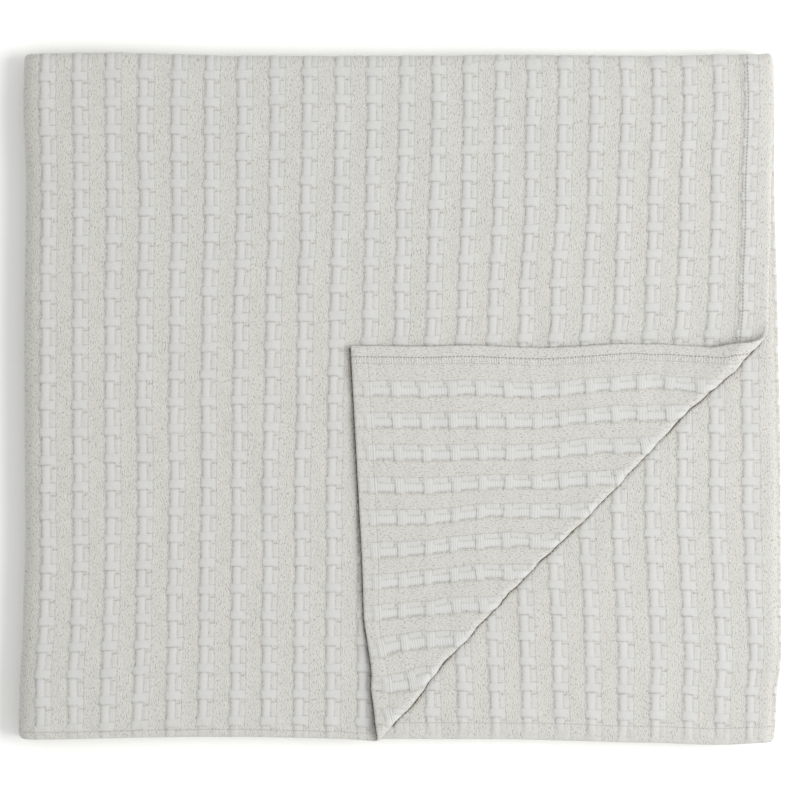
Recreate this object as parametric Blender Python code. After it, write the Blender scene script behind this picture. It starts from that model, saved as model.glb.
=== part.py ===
"""Duvet cover in ribbed matelasse, 2.2 m by 2.0 m, folded in three both ways, one corner turned back.

The cover is two panels sewn together round the edge: front and back, each one solid. Each panel is
cut flat, and every point of the cut is then carried through the folds. In the flat cut, u runs from
the side hem that ends on top of the pile, v from the bottom hem, and n is the height over the plane
where the two panels meet. The folded pile lies on z = 0, with +X to the right and +Y away.
"""

import math

import bmesh
import bpy
from mathutils import Matrix, Vector

# The cut, in metres
COVER_WIDTH = 2.200
COVER_LENGTH = 2.000
CLOTH = 0.0014
PANEL_GAP = 0.0003
PLY_GAP = 0.0005
PLATE_GAP = 0.0010

# First fold, across the width: three plies. Second fold, up the length: three plates of those plies
SIDE_HEM_X = 0.366
BOTTOM_HEM_Y = -0.337
LEFT_BEND_X = -0.365
RIGHT_BEND_X = 0.364
TOP_BEND_Y = 0.3276
BOTTOM_BEND_Y = -0.3271

PANEL_REACH = PANEL_GAP / 2 + CLOTH
PLY_PITCH = 2 * PANEL_REACH + PLY_GAP
PLY_BEND = PLY_PITCH / 2
PLATE_REACH = PLY_PITCH + PANEL_REACH
PLATE_PITCH = 2 * PLATE_REACH + PLATE_GAP
PLATE_BEND = PLATE_PITCH / 2
PLY_ARC = math.pi * PLY_BEND
PLATE_ARC = math.pi * PLATE_BEND

PLY_LENGTHS = [SIDE_HEM_X - LEFT_BEND_X, RIGHT_BEND_X - LEFT_BEND_X]
PLY_LENGTHS.append(COVER_WIDTH - sum(PLY_LENGTHS) - 2 * PLY_ARC)
PLATE_LENGTHS = [TOP_BEND_Y - BOTTOM_HEM_Y, TOP_BEND_Y - BOTTOM_BEND_Y]
PLATE_LENGTHS.append(COVER_LENGTH - sum(PLATE_LENGTHS) - 2 * PLATE_ARC)

TOP_PLATE_Z = 2 * PLATE_PITCH + PLATE_REACH
TOP_PLY_Z = TOP_PLATE_Z + PLY_PITCH

# The corner turned back: its crease runs from the side hem down to the bottom hem
CREASE_RIGHT = Vector((0.3570, 0.0621))
CREASE_LEFT = Vector((-0.0147, -0.3291))
CREASE_ALONG = (CREASE_LEFT - CREASE_RIGHT).normalized()
CREASE_OUT = Vector((-CREASE_ALONG.y, CREASE_ALONG.x))
CREASE_LENGTH = (CREASE_LEFT - CREASE_RIGHT).length
CREASE_RADIUS = 0.0030
CREASE_RADIUS_RIGHT = 0.0065
CREASE_RADIUS_LEFT = 0.0048
CREASE_SOFT_END = 0.110
FLAP_LIFT = PLY_PITCH + 0.0014
FLAP_SETTLES_IN = 0.022

# The ribs woven along the length, raised where they show
RIB_PITCH = 0.0314
RIB_HEIGHT = 0.0010
RIB_LEFT_FOOT = 0.0042
RIB_RIGHT_FOOT = 0.0074
FRONT_RIB_START = 0.0228
BACK_RIB_START = 0.0103
RIB_FADE = 0.010

# The pile is softer at its edges than in the middle: width of each soft edge and the share it sinks
SOFT_EDGES = {
    "left": {"width": 0.020, "sinks": 0.26},
    "right": {"width": 0.014, "sinks": 0.12},
    "bottom": {"width": 0.018, "sinks": 0.12},
}

# How far each edge of the pile lies outside its straight line, station by station
LEFT_EDGE = [
    {"y": -0.337, "out": 0.0050},
    {"y": -0.290, "out": 0.0038},
    {"y": -0.220, "out": 0.0004},
    {"y": -0.140, "out": -0.0018},
    {"y": 0.060, "out": -0.0008},
    {"y": 0.210, "out": -0.0026},
    {"y": 0.290, "out": 0.0002},
    {"y": 0.338, "out": -0.0006},
]
RIGHT_EDGE = [
    {"y": -0.337, "out": -0.0030},
    {"y": -0.295, "out": -0.0008},
    {"y": -0.250, "out": 0.0034},
    {"y": -0.060, "out": 0.0032},
    {"y": 0.090, "out": 0.0},
    {"y": 0.210, "out": -0.0036},
    {"y": 0.290, "out": -0.0030},
    {"y": 0.338, "out": -0.0062},
]
TOP_EDGE = [
    {"x": -0.366, "out": -0.0005},
    {"x": -0.290, "out": 0.0010},
    {"x": -0.150, "out": -0.0023},
    {"x": -0.030, "out": -0.0023},
    {"x": 0.130, "out": -0.0012},
    {"x": 0.260, "out": -0.0022},
    {"x": 0.366, "out": -0.0004},
]
BOTTOM_EDGE = [
    {"x": -0.366, "out": -0.0044},
    {"x": -0.170, "out": -0.0076},
    {"x": -0.020, "out": -0.0048},
    {"x": 0.120, "out": -0.0046},
    {"x": 0.240, "out": -0.0012},
    {"x": 0.310, "out": 0.0010},
    {"x": 0.366, "out": -0.0010},
]
CORNER_ROUNDING = {"bottom_left": 0.010, "bottom_right": 0.009, "top_right": 0.007, "top_left": 0.004}

# Where every ply is cut across, so that the plies bend alike
CUT_X = [-0.359, -0.345, -0.170, 0.0, 0.170, 0.350, 0.359]
CUT_Y = [-0.3325, -0.3265, -0.320, -0.230, -0.100, 0.050, 0.200, 0.312]
PLY_BEND_STEPS = 4
PLATE_BEND_STEPS = 4
CREASE_CUTS = [-0.0085, -0.0055, -0.0030, -0.0010, 0.0010, 0.0032, 0.0064, 0.0100, 0.0140, 0.0185]
CREASE_CUTS += [0.0285, 0.0430, 0.0650]
CUT_SLANT = 0.3
CUTS_ACROSS_CREASE = [0.012, 0.035, 0.060, 0.085, 0.115]
FLAP_RIB_EDGE = 0.0185
REVEALED_EDGE = 0.0080

CLOTH_COLOUR = (0.62, 0.61, 0.58, 1.0)
CLOTH_ROUGHNESS = 0.9


def clamp(value, low=0.0, high=1.0):
    return max(low, min(high, value))


def smooth(share):
    """Rises from 0 to 1 with level ends."""
    share = clamp(share)
    return share * share * (3 - 2 * share)


def table_value(table, station, at):
    """Reads the out column of a table at a station, with a smooth curve between rows."""
    for low, high in zip(table, table[1:]):
        if at <= high[station]:
            share = smooth((at - low[station]) / (high[station] - low[station]))
            return low["out"] + share * (high["out"] - low["out"])
    return table[-1]["out"]


def accordion(length, offset, lengths, radius):
    """Carries a point through a back-and-forth fold, of flat lengths joined by half-round bends.

    length is how far along the cloth the point lies, and offset its height over the middle of what
    is folded. It returns how far the point ends from the first edge and its height over the top ply.
    """
    along, level, heading, side = 0.0, 0.0, 1, 1
    for flat in lengths[:-1]:
        if length <= flat:
            break
        length -= flat
        along += heading * flat
        if length < math.pi * radius:
            reach = radius + side * offset
            angle = length / radius
            return along + heading * reach * math.sin(angle), level - radius + reach * math.cos(angle)
        length -= math.pi * radius
        level -= 2 * radius
        heading, side = -heading, -side
    return along + heading * length, level + side * offset


def crease_radius(along):
    """The bend of the turned corner: tight in the middle and soft towards both hems."""
    to_right = smooth(1 - along / CREASE_SOFT_END)
    to_left = smooth(1 - (CREASE_LENGTH - along) / CREASE_SOFT_END)
    return (
        CREASE_RADIUS
        + to_right * (CREASE_RADIUS_RIGHT - CREASE_RADIUS)
        + to_left * (CREASE_RADIUS_LEFT - CREASE_RADIUS)
    )


def past_crease(x, y):
    """How far a point of the plan lies past the crease, towards the corner that is turned back."""
    return (Vector((x, y)) - CREASE_RIGHT).dot(CREASE_OUT)


def turn_back(x, y, z):
    """Rolls what lies past the crease up and over, to lie back on the top ply."""
    plan = Vector((x, y))
    along = (plan - CREASE_RIGHT).dot(CREASE_ALONG)
    radius = crease_radius(along)
    travelled = past_crease(x, y) + radius
    if travelled <= 0:
        return x, y, z
    offset = z - TOP_PLY_Z
    reach = radius - offset
    if travelled < math.pi * radius:
        angle = travelled / radius
        across = reach * math.sin(angle) - radius
        height = TOP_PLY_Z + radius - reach * math.cos(angle)
    else:
        beyond = travelled - math.pi * radius
        across = -radius - beyond
        settled = 1 - math.exp(-beyond / FLAP_SETTLES_IN)
        height = TOP_PLY_Z + 2 * radius - offset - settled * (2 * radius - FLAP_LIFT)
    plan = CREASE_RIGHT + CREASE_ALONG * along + CREASE_OUT * across
    return plan.x, plan.y, height


def round_corner(x, y, corner_x, corner_y, radius):
    """Draws a square corner of the plan in to a round one, as if a square were pressed into a disc."""
    inward_x = math.copysign(1, corner_x)
    inward_y = math.copysign(1, corner_y)
    share_x = clamp(1 - (corner_x - x) * inward_x / radius, 0, 1.2)
    share_y = clamp(1 - (corner_y - y) * inward_y / radius, 0, 1.2)
    if share_x == 0 or share_y == 0:
        return x, y
    drawn_x = share_x * math.sqrt(1 - share_y * share_y / 2.9)
    drawn_y = share_y * math.sqrt(1 - share_x * share_x / 2.9)
    return x + (drawn_x - share_x) * radius * inward_x, y + (drawn_y - share_y) * radius * inward_y


def settle(x, y, z):
    """Sinks the soft edges of the pile and draws its outline to the uneven one that it has."""
    left, right = LEFT_BEND_X - PLY_BEND - PANEL_REACH, RIGHT_BEND_X + PLY_BEND + PANEL_REACH
    top, bottom = TOP_BEND_Y + PLATE_BEND + PLATE_REACH, BOTTOM_BEND_Y - PLATE_BEND - PLATE_REACH
    inside = {"left": x - left, "right": right - x, "bottom": y - bottom}
    for side, edge in SOFT_EDGES.items():
        z *= 1 - edge["sinks"] * clamp(1 - inside[side] / edge["width"]) ** 2
    corners = CORNER_ROUNDING
    for name, place in {
        "bottom_left": (left, bottom),
        "bottom_right": (right, bottom),
        "top_right": (right, top),
        "top_left": (left, top),
    }.items():
        x, y = round_corner(x, y, *place, corners[name])
    share_x = clamp((x - left) / (right - left))
    share_y = clamp((y - bottom) / (top - bottom))
    moved_x = (1 - smooth(share_x * 2.5)) * -table_value(LEFT_EDGE, "y", y)
    moved_x += smooth(share_x * 2.5 - 1.5) * table_value(RIGHT_EDGE, "y", y)
    moved_y = (1 - smooth(share_y * 2.5)) * -table_value(BOTTOM_EDGE, "x", x)
    moved_y += smooth(share_y * 2.5 - 1.5) * table_value(TOP_EDGE, "x", x)
    return x + moved_x, y + moved_y, z


def folded(u, v, n):
    """Where a point of the flat cut ends up in the folded pile."""
    across, ply_height = accordion(u, n, PLY_LENGTHS, PLY_BEND)
    up, plate_height = accordion(v, ply_height + PLY_PITCH, PLATE_LENGTHS, PLATE_BEND)
    x, y, z = SIDE_HEM_X - across, BOTTOM_HEM_Y + up, TOP_PLATE_Z + plate_height
    if u <= PLY_LENGTHS[0] and v <= PLATE_LENGTHS[0]:
        x, y, z = turn_back(x, y, z)
    return Vector(settle(x, y, z))


def cut_stations(hem, turns, lengths, arc, steps, cuts):
    """The lengths along the cloth where it is cut across: at each place of the pile's plan that
    cuts names, ply by ply, and evenly through each bend."""
    stations = []
    start, place = 0.0, hem
    for number, length in enumerate(lengths):
        heading = 1 if turns[number % 2] > place else -1
        stations += [start + (cut - place) * heading for cut in cuts]
        start += length
        place += heading * length
        if number < len(lengths) - 1:
            stations += [start + arc * step / steps for step in range(steps + 1)]
            start += arc
    return sorted(station for station in stations if 0.001 < station < start - 0.001)


def cut(bm, faces, point, normal):
    """Cuts these faces, and no others, along a plane that stands on the flat cloth."""
    edges = {edge for face in faces for edge in face.edges}
    points = {vertex for face in faces for vertex in face.verts}
    bmesh.ops.bisect_plane(
        bm,
        geom=[*points, *edges, *faces],
        dist=1e-6,
        plane_co=Vector((*point, 0)),
        plane_no=Vector((*normal, 0)),
    )


def faces_where(bm, wanted):
    """The faces whose middle fits, given as wanted(u, v, normal)."""
    return [f for f in bm.faces if wanted(*f.calc_center_median().to_2d(), f.normal)]


def on_top_ply(u, v):
    return u < PLY_LENGTHS[0] and v < PLATE_LENGTHS[0]


def on_second_ply(u, v):
    second = PLY_LENGTHS[0] + PLY_ARC
    return second < u < second + PLY_LENGTHS[1] and v < PLATE_LENGTHS[0]


def top_ply_past_crease(u, v):
    return past_crease(SIDE_HEM_X - u, BOTTOM_HEM_Y + v)


def second_ply_past_crease(u, v):
    return past_crease(LEFT_BEND_X + u - PLY_LENGTHS[0] - PLY_ARC, BOTTOM_HEM_Y + v)


def rib_lines(first, low, high):
    """The feet and the crown of each rib between two lengths of the cloth."""
    lines = []
    for number in range(int((high - first) / RIB_PITCH) + 1):
        crown = first + number * RIB_PITCH
        lines += [crown - RIB_RIGHT_FOOT, crown, crown + RIB_LEFT_FOOT]
    return [line for line in lines if low < line < high]


def rib_height(u, first):
    """The height of the ribs at u: a crown between a steep left foot and a longer right one."""
    away = (u - first + RIB_PITCH / 2) % RIB_PITCH - RIB_PITCH / 2
    foot = RIB_LEFT_FOOT if away > 0 else RIB_RIGHT_FOOT
    return RIB_HEIGHT * clamp(1 - abs(away) / foot)


def front_relief(u, v):
    """Ribs all over the top ply up to the crease, and on over the bend at the top edge."""
    if u > PLY_LENGTHS[0] - 0.001:
        return 0.0
    over_top = clamp((v - PLATE_LENGTHS[0]) / PLATE_ARC)
    shown = clamp((0.62 - over_top) / 0.2)
    if v < PLATE_LENGTHS[0]:
        shown *= clamp(-(top_ply_past_crease(u, v) - CREASE_CUTS[0]) / RIB_FADE)
    return shown * rib_height(u, FRONT_RIB_START)


def back_relief(u, v):
    """Ribs on the turned corner, and on the second ply where the corner leaves it bare."""
    if on_top_ply(u, v):
        shown = clamp((top_ply_past_crease(u, v) - FLAP_RIB_EDGE) / RIB_FADE)
    elif on_second_ply(u, v):
        shown = clamp((second_ply_past_crease(u, v) - REVEALED_EDGE) / RIB_FADE)
    else:
        shown = 0.0
    return shown * rib_height(u, BACK_RIB_START)


def flat_panel(low, high):
    """A panel as cut: a flat slab of cloth from low to high over the plane between the panels."""
    bm = bmesh.new()
    bmesh.ops.create_cube(bm, size=1)
    place = Matrix.Translation((COVER_WIDTH / 2, COVER_LENGTH / 2, (low + high) / 2))
    size = Matrix.Diagonal((COVER_WIDTH, COVER_LENGTH, high - low, 1))
    bmesh.ops.transform(bm, matrix=place @ size, verts=bm.verts)
    turns_x, turns_y = (LEFT_BEND_X, RIGHT_BEND_X), (TOP_BEND_Y, BOTTOM_BEND_Y)
    for u in cut_stations(SIDE_HEM_X, turns_x, PLY_LENGTHS, PLY_ARC, PLY_BEND_STEPS, CUT_X):
        cut(bm, bm.faces[:], (u, 0), (1, 0))
    for v in cut_stations(BOTTOM_HEM_Y, turns_y, PLATE_LENGTHS, PLATE_ARC, PLATE_BEND_STEPS, CUT_Y):
        cut(bm, bm.faces[:], (0, v), (0, 1))
    return bm


def cut_beside_crease(bm, past, wanted, mirrored):
    """Cuts the wanted faces at a distance past the crease. The top ply is seen mirrored in u."""
    out = Vector((-CREASE_OUT.x if mirrored else CREASE_OUT.x, CREASE_OUT.y))
    start = CREASE_RIGHT + CREASE_OUT * past
    if mirrored:
        point = (SIDE_HEM_X - start.x, start.y - BOTTOM_HEM_Y)
    else:
        point = (start.x - LEFT_BEND_X + PLY_LENGTHS[0] + PLY_ARC, start.y - BOTTOM_HEM_Y)
    cut(bm, faces_where(bm, wanted), point, out)


def cut_across_crease(bm):
    """Cuts the crease and its surroundings crosswise, where its bend softens towards the hems. The
    cuts slant, so that each face between them has one diagonal that is clearly the shorter."""
    def bend(u, v, normal):
        return on_top_ply(u, v) and CREASE_CUTS[0] < top_ply_past_crease(u, v) < CREASE_CUTS[-1]

    normal = CREASE_ALONG + CREASE_OUT * CUT_SLANT
    for along in CUTS_ACROSS_CREASE + [CREASE_LENGTH - along for along in CUTS_ACROSS_CREASE]:
        place = CREASE_RIGHT + CREASE_ALONG * along
        point = (SIDE_HEM_X - place.x, place.y - BOTTOM_HEM_Y)
        cut(bm, faces_where(bm, bend), point, (-normal.x, normal.y))


def halve_crease_faces(bm):
    """Splits the faces in and past the crease while they are flat, so that both panels split alike."""
    def bent(u, v, normal):
        return abs(normal.z) > 0.5 and on_top_ply(u, v) and top_ply_past_crease(u, v) > CREASE_CUTS[0]

    bm.normal_update()
    bmesh.ops.triangulate(bm, faces=faces_where(bm, bent), quad_method="SHORT_EDGE")


def cut_front(bm):
    """The lines of the crease, then those of the ribs on the outer face."""
    def top_ply(u, v, normal):
        return on_top_ply(u, v)

    def ribbed(u, v, normal):
        bare = on_top_ply(u, v) and top_ply_past_crease(u, v) > CREASE_CUTS[0]
        ends = PLATE_LENGTHS[0] + PLATE_ARC * 0.67
        return normal.z > 0.5 and u < PLY_LENGTHS[0] and v < ends and not bare

    def outer_top_ply(u, v, normal):
        return normal.z > 0.5 and on_top_ply(u, v)

    for past in CREASE_CUTS:
        cut_beside_crease(bm, past, top_ply, mirrored=True)
    cut_across_crease(bm)
    cut_beside_crease(bm, CREASE_CUTS[0] - RIB_FADE, outer_top_ply, mirrored=True)
    for u in rib_lines(FRONT_RIB_START, 0.002, PLY_LENGTHS[0] - 0.002):
        cut(bm, faces_where(bm, ribbed), (u, 0), (1, 0))


def cut_back(bm):
    """The lines of the crease, the edge of what the corner leaves bare, and the ribs on both."""
    def top_ply(u, v, normal):
        return on_top_ply(u, v)

    def second_ply(u, v, normal):
        return on_second_ply(u, v) and normal.z < -0.5

    def flap(u, v, normal):
        return normal.z < -0.5 and on_top_ply(u, v) and top_ply_past_crease(u, v) > FLAP_RIB_EDGE

    def revealed(u, v, normal):
        return second_ply(u, v, normal) and second_ply_past_crease(u, v) > REVEALED_EDGE

    for past in CREASE_CUTS:
        cut_beside_crease(bm, past, top_ply, mirrored=True)
    cut_across_crease(bm)
    for past in [REVEALED_EDGE, REVEALED_EDGE + RIB_FADE]:
        cut_beside_crease(bm, past, second_ply, mirrored=False)
    second = PLY_LENGTHS[0] + PLY_ARC
    for u in rib_lines(BACK_RIB_START, 0.002, PLY_LENGTHS[0]):
        cut(bm, faces_where(bm, flap), (u, 0), (1, 0))
    for u in rib_lines(BACK_RIB_START, second, second + PLY_LENGTHS[1] - 0.002):
        cut(bm, faces_where(bm, revealed), (u, 0), (1, 0))


def cloth_material():
    material = bpy.data.materials.new("ribbed matelasse cotton")
    material.use_nodes = True
    shader = material.node_tree.nodes["Principled BSDF"]
    shader.inputs["Base Color"].default_value = CLOTH_COLOUR
    shader.inputs["Roughness"].default_value = CLOTH_ROUGHNESS
    shader.inputs["Metallic"].default_value = 0.0
    return material


def make_panel(name, face, cut_lines, relief, material, collection):
    """One panel: cut flat, its ribs raised on the outer face, then folded. face is +1 or -1."""
    inner, outer = face * PANEL_GAP / 2, face * PANEL_REACH
    bm = flat_panel(min(inner, outer), max(inner, outer))
    cut_lines(bm)
    halve_crease_faces(bm)
    middle = (inner + outer) / 2
    for vertex in bm.verts:
        u, v, n = vertex.co
        if (n - middle) * face > 0:
            vertex.co.z += face * relief(u, v)
    bm.normal_update()
    bmesh.ops.triangulate(bm, faces=[f for f in bm.faces if len(f.verts) > 4])
    for vertex in bm.verts:
        vertex.co = folded(*vertex.co)
    # u runs against X, so the folded cloth is mirrored and its faces are turned out again
    bmesh.ops.reverse_faces(bm, faces=bm.faces)
    mesh = bpy.data.meshes.new(name)
    bm.to_mesh(mesh)
    bm.free()
    mesh.materials.append(material)
    panel = bpy.data.objects.new(name, mesh)
    collection.objects.link(panel)
    return panel


def centre_on_floor(panels):
    """Moves the panels together so that their common box stands on the floor round the origin."""
    points = [vertex.co for panel in panels for vertex in panel.data.vertices]
    low = Vector(min(point[axis] for point in points) for axis in range(3))
    high = Vector(max(point[axis] for point in points) for axis in range(3))
    middle = (low + high) / 2
    for panel in panels:
        panel.data.transform(Matrix.Translation((-middle.x, -middle.y, -low.z)))


def main():
    for obj in list(bpy.data.objects):
        bpy.data.objects.remove(obj)
    collection = bpy.data.collections.new("duvet_cover")
    bpy.context.scene.collection.children.link(collection)
    cloth = cloth_material()
    front = make_panel("front_panel", 1, cut_front, front_relief, cloth, collection)
    back = make_panel("back_panel", -1, cut_back, back_relief, cloth, collection)
    centre_on_floor([front, back])


main()
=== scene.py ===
import math

import bmesh
import bpy
import numpy as np
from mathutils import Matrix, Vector


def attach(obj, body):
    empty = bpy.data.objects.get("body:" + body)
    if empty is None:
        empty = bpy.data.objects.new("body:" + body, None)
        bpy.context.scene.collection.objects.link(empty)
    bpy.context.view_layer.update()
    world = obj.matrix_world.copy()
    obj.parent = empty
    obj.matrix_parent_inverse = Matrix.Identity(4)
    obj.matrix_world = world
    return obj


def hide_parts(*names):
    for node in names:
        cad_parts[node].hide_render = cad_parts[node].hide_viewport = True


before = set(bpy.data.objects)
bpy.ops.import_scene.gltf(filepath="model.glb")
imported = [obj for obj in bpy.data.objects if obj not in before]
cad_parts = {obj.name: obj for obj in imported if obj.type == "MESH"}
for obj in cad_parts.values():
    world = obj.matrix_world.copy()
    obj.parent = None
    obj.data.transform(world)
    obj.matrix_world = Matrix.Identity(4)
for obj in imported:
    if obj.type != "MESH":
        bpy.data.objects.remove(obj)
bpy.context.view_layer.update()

# A ribbed matelasse duvet cover, folded in three both ways, with one corner of the top layer turned
# back. Each panel is a grid in the flat cut (u from the side hem, v from the bottom hem, n the height
# over the plane between the panels), and whole arrays of its points are carried through the folds.

coverCut = {"width": 2.200, "length": 2.000, "cloth": 0.0014, "panelGap": 0.0003}

foldedPile = {
    "sideHemX": 0.366, "bottomHemY": -0.337,  # where the two hems on top of the pile lie
    "leftBendX": -0.365, "rightBendX": 0.364, "topBendY": 0.3276, "bottomBendY": -0.3271,
    "plyGap": 0.0005, "plateGap": 0.0010,
    "moveX": 0.0012, "moveY": -0.0010,  # from the fold's own frame to the model's
}

panelReach = coverCut["panelGap"] / 2 + coverCut["cloth"]
plyPitch = 2 * panelReach + foldedPile["plyGap"]
plyBend = plyPitch / 2
plateReach = plyPitch + panelReach
platePitch = 2 * plateReach + foldedPile["plateGap"]
plateBend = platePitch / 2
plyArc, plateArc = math.pi * plyBend, math.pi * plateBend
plyLengths = [foldedPile[side] - foldedPile["leftBendX"] for side in ("sideHemX", "rightBendX")]
plyLengths.append(coverCut["width"] - sum(plyLengths) - 2 * plyArc)
plateLengths = [foldedPile["topBendY"] - foldedPile[side] for side in ("bottomHemY", "bottomBendY")]
plateLengths.append(coverCut["length"] - sum(plateLengths) - 2 * plateArc)
topPlateZ = 2 * platePitch + plateReach
topPlyZ = topPlateZ + plyPitch
secondPlyStart = plyLengths[0] + plyArc
secondPlyEnd = secondPlyStart + plyLengths[1]

# The hem of the top ply bows inwards as it nears the crease, and the whole ply leans a little:
# how far the cloth lies left of its straight place, by its height v on the cut
skew = {
    "hem": [(-0.01, -0.001), (0.09, 0.004), (0.20, 0.0115), (0.338, 0.0175), (0.434, 0.0085),
            (0.531, 0.0028), (0.63, 0.0)],
    "inside": [(-0.01, 0.0098), (0.073, 0.0094), (0.195, 0.0086), (0.312, 0.0072), (0.434, 0.0045),
               (0.507, 0.0020), (0.63, 0.0)],
    "upTo": 0.63, "hemFades": (0.10, 0.42), "insideFades": (0.40, 0.71),
    # The turned part's lower hem lies this much further out, fading over these stretches of the cut
    "drop": 0.0045, "dropFades": (0.33, 0.42), "dropFadesUp": (0.0, 0.25),
}

turnedCorner = {
    "creaseRight": (0.3532, 0.0625), "creaseLeft": (-0.0166, -0.3277),
    "across": 0.0034, "acrossRight": 0.0120, "acrossLeft": 0.0058,  # the roll's half width along the crease
    "height": 0.0033, "heightRight": 0.0062, "heightLeft": 0.0046, "softEnd": 0.110,
    "lift": plyPitch + 0.0011, "settlesIn": 0.022,
    # How far the crease strays from a straight line, by the distance along it
    "stray": [(0.0, 0.0), (0.036, 0.0004), (0.120, -0.0059), (0.249, -0.0047), (0.323, -0.0066),
              (0.452, -0.0045), (0.498, 0.0018), (0.530, 0.0015)],
    "ripples": [(0.0004, 0.041, 0.7), (0.0003, 0.023, 2.1)],  # each one's size, length and phase
}

# The woven pattern. A column is 31.3 mm wide: a rounded rib with a groove on its left and a flat step on
# its right, bound by a wrap every 26.7 mm. Across is measured to the right of the rib's crown, along
# upwards from the wrap's middle, all in metres
ribbing = {
    "pitch": 0.0313, "wrapPitch": 0.0267,
    # across, height between the wraps, height within them
    "section": [(-0.01565, 0, 0), (-0.0074, 0, 0), (-0.0062, -0.00006, 0.00008), (-0.0046, -0.00030, 0.00042),
                (-0.0032, 0.00020, 0.00062), (0.0, 0.00058, 0.00078), (0.0032, 0.00030, 0.00070),
                (0.0046, 0.00004, 0.00058), (0.0056, 0.00020, 0.00054), (0.0090, 0.00016, 0.00036),
                (0.0102, -0.00008, 0.0), (0.0124, 0, 0), (0.01565, 0, 0)],
    "wrapShare": [(-0.0050, 0), (-0.0039, 1), (0.0039, 1), (0.0050, 0)],
    "stepShare": [(-0.0083, 1), (-0.0074, 0), (-0.0050, 0), (0.0, 1)],
    "acrossLines": [-0.0062, -0.0046, -0.0032, 0.0, 0.0032, 0.0046, 0.0056, 0.0090, 0.0102, 0.0175],
    "alongLines": [-0.0131, -0.0083, -0.0074, -0.0050, -0.0039, 0.0, 0.0039, 0.0050],
    # The place of one crown and of one wrap on each shown part
    "frontStart": 0.0239, "backStart": 0.0123, "lowerPlyCrown": 0.7035,
    "frontRow": 0.0017, "frontRowSlant": 0.025, "backRow": 0.0143, "lowerPlyRow": 0.0278,
    "stretch": 0.0067,  # the front's columns lie closer to the hem than even ones, most halfway over
    "waver": 0.0006, "rowWaver": 0.0008,
}

hems = {
    "frontSeam": 0.0253, "backSeam": 0.0109, "secondLine": 0.0067,
    "frontEndSeam": 0.0073, "backEndSeam": 0.0163,
    "band": 0.0105,  # the rolled edge
    "groove": 0.00065, "full": 0.00042, "pucker": 0.00030, "puckerPitch": 0.0117,
    # The half widths of the grooves on the side, second and end seams, and the second one's share
    "grooveWidths": (0.0016, 0.0014, 0.0015), "secondShare": 0.6, "endFull": 0.8,
    # Where the side's and the end's puckers lie, how wide they are, and how far their lines wander
    "sidePuckers": (0.014, 0.010), "endPuckers": (0.007, 0.008), "wander": 2.2,
    "crinkle": 0.00055, "crinklePitch": 0.0062, "crinkles": (0.026, 0.005),  # the strip by the turned hem
}

# Each edge's softness: how far in it begins, and the share of the height that it sinks
softEdges = {"left": (0.020, 0.22), "right": (0.014, 0.12), "bottom": (0.018, 0.12), "top": (0.12, 0.10)}

# The outline's distance outside its straight lines, as (place, out)
outline = {
    "left": [(-0.337, 0.0050), (-0.290, 0.0038), (-0.220, 0.0004), (-0.140, -0.0018), (0.060, -0.0008),
             (0.210, -0.0026), (0.290, 0.0002), (0.338, -0.0006)],
    "right": [(-0.337, -0.0010), (-0.295, 0.0012), (-0.250, 0.0056), (-0.060, 0.0050), (0.090, 0.0022),
              (0.210, -0.0012), (0.290, -0.0008), (0.338, -0.0018)],
    "top": [(-0.366, -0.0005), (-0.290, 0.0010), (-0.150, -0.0023), (-0.030, -0.0023), (0.130, -0.0012),
            (0.260, -0.0022), (0.366, -0.0004)],
    "bottom": [(-0.366, -0.0044), (-0.170, -0.0076), (-0.020, -0.0048), (0.120, -0.0046), (0.240, -0.0012),
               (0.310, 0.0010), (0.366, -0.0010)],
    "roundings": {"bottomLeft": 0.010, "bottomRight": 0.009, "topRight": 0.007, "topLeft": 0.004},
    "reach": 2.5,  # an edge's stray fades over the pile's width or length divided by this
}

creaseStart = np.array(turnedCorner["creaseRight"])
creaseEnd = np.array(turnedCorner["creaseLeft"])
creaseLength = float(np.linalg.norm(creaseEnd - creaseStart))
creaseAlong = (creaseEnd - creaseStart) / creaseLength
creaseOut = np.array((-creaseAlong[1], creaseAlong[0]))


# Rises from 0 to 1 with level ends: 3 s squared less 2 s cubed
def smooth(share):
    share = np.clip(share, 0, 1)
    return share * share * (3 - 2 * share)


# The same rise between two places
def ramp(value, low, high):
    return smooth((value - low) / (high - low))


# A smooth curve through a short table: between two rows the share moved is smooth(share)
def tableValue(table, at):
    places = np.array([row[0] for row in table])
    outs = np.array([row[1] for row in table])
    index = np.clip(np.searchsorted(places, at) - 1, 0, len(table) - 2)
    share = (at - places[index]) / (places[index + 1] - places[index])
    return outs[index] + smooth(share) * (outs[index + 1] - outs[index])


# A gentle uneven field: the sum of plane waves with seeded directions, lengths and phases, about -1 to 1
def unevenness(x, y, seed, shortest, longest, waves=14):
    dice = np.random.default_rng(seed)
    total = np.zeros_like(x)
    lengths = dice.uniform(shortest, longest, waves)
    angles, phases = dice.uniform(0, math.pi, waves), dice.uniform(0, 2 * math.pi, waves)
    for length, angle, phase in zip(lengths, angles, phases):
        total += np.sin((x * math.cos(angle) + y * math.sin(angle)) * 2 * math.pi / length + phase)
    return total / math.sqrt(waves) * 0.8


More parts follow.
